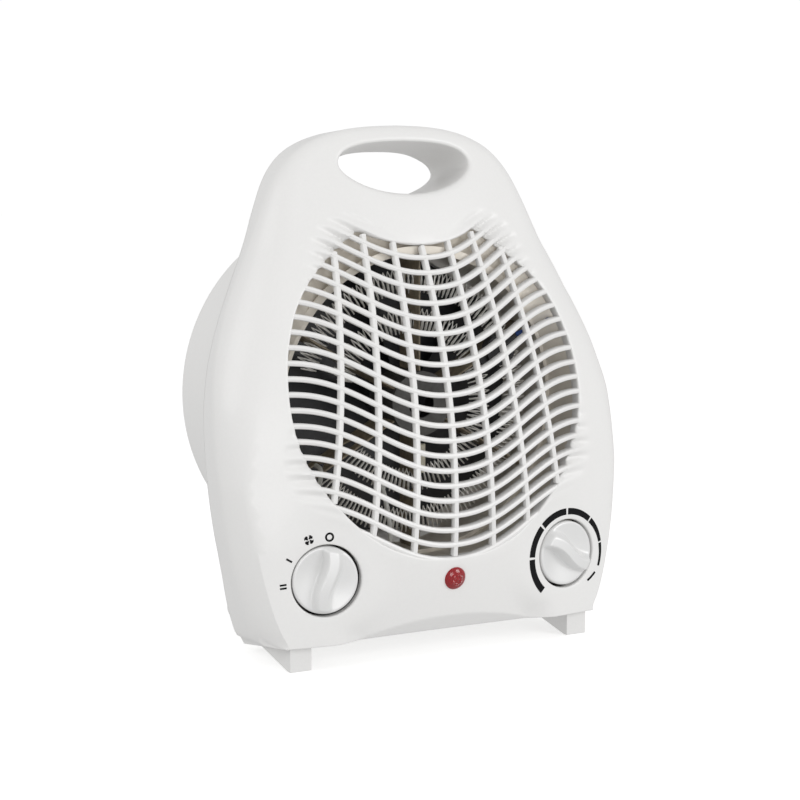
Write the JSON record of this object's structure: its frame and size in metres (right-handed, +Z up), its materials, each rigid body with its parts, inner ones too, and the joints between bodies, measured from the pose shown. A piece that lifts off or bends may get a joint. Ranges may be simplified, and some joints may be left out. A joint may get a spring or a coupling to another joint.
{
  "type": "fan convector heater",
  "caption": "Upright portable fan convector heater: leaning white casing with hand hole, wave grille, rear fan drum, rotary switch, room thermostat and indicator lamp.",
  "frame": {"origin": "floor level under the middle of the bounding box, between the four feet", "axes": "+Z up, front grille and knobs face -Y, +X to the right seen from the front"},
  "size_m": [0.219, 0.1286, 0.256],
  "materials": {
    "casing_white": "satin moulded off-white plastic",
    "foot_white": "satin off-white plastic",
    "knob_pearl": "pearl silver-white satin plastic",
    "lens_red": "translucent red faceted plastic",
    "steel": "zinc plated",
    "sheet_metal": "warm galvanised sheet",
    "dark_plastic": "black thermoset",
    "ivory_ceramic": "glazed ceramic and ivory plastic",
    "mica": "laminated mica sheet",
    "heating_wire": "oxidised resistance wire",
    "fan_plastic": "dark grey heat-resistant plastic",
    "lamination": "stacked electrical sheet",
    "copper": "enamelled copper winding",
    "brass": "brass",
    "neon_glass": "clear glass tube",
    "lead_brown": "insulated lead",
    "lead_white": "insulated lead",
    "lead_blue": "insulated lead",
    "gland_grey": "soft light grey bush"
  },
  "bodies": {
    "casing": {"front_cover": "casing_white", "rear_cover": "casing_white", "front_feet": "foot_white", "rear_feet": "foot_white", "casing_screws": "steel", "switch_body": "dark_plastic", "switch_terminals": "brass", "switch_screws": "steel", "thermostat_body": "ivory_ceramic", "thermostat_bimetal": "brass", "thermostat_nut": "steel", "lamp_lens": "lens_red", "neon_lamp": "neon_glass", "lamp_holder": "dark_plastic", "air_duct": "sheet_metal", "duct_screws": "steel", "mica_arms": "mica", "element_hub": "steel", "outer_coil": "heating_wire", "inner_coil": "heating_wire", "thermal_cutout": "dark_plastic", "thermal_fuse": "ivory_ceramic", "stator_stack": "lamination", "motor_bobbin": "fan_plastic", "motor_coil": "copper", "front_bearing_bracket": "steel", "rear_bearing_bracket": "steel", "bearing_bushes": "brass", "motor_strap": "steel", "strap_screws": "steel", "motor_screws": "steel", "terminal_block": "ivory_ceramic", "cord_gland": "gland_grey", "switch_lead": "lead_brown", "thermostat_lead": "lead_brown", "low_heat_lead": "lead_white", "high_heat_lead": "lead_white", "motor_lead": "lead_blue", "cutout_lead": "lead_blue"},
    "switch": {"switch_knob": "knob_pearl", "switch_spindle": "dark_plastic"},
    "thermostat": {"thermostat_knob": "knob_pearl", "thermostat_spindle": "steel"},
    "fan": {"fan_impeller": "fan_plastic", "motor_shaft": "steel", "rotor": "steel"}
  },
  "joints": [
    {"name": "switch_turn", "type": "hinge", "parent": "casing", "child": "switch", "pos_m": [-0.0668, -0.0562, 0.044], "axis": [-0.1392, -0.9903, 0], "range_deg": [0, 100]},
    {"name": "thermostat_turn", "type": "hinge", "parent": "casing", "child": "thermostat", "pos_m": [0.0668, -0.0562, 0.044], "axis": [0.1392, -0.9903, 0], "range_deg": [0, 270]},
    {"name": "fan_spin", "type": "hinge", "parent": "casing", "child": "fan", "pos_m": [0, 0.0093, 0.12], "axis": [0, -1, 0], "continuous": true}
  ]
}
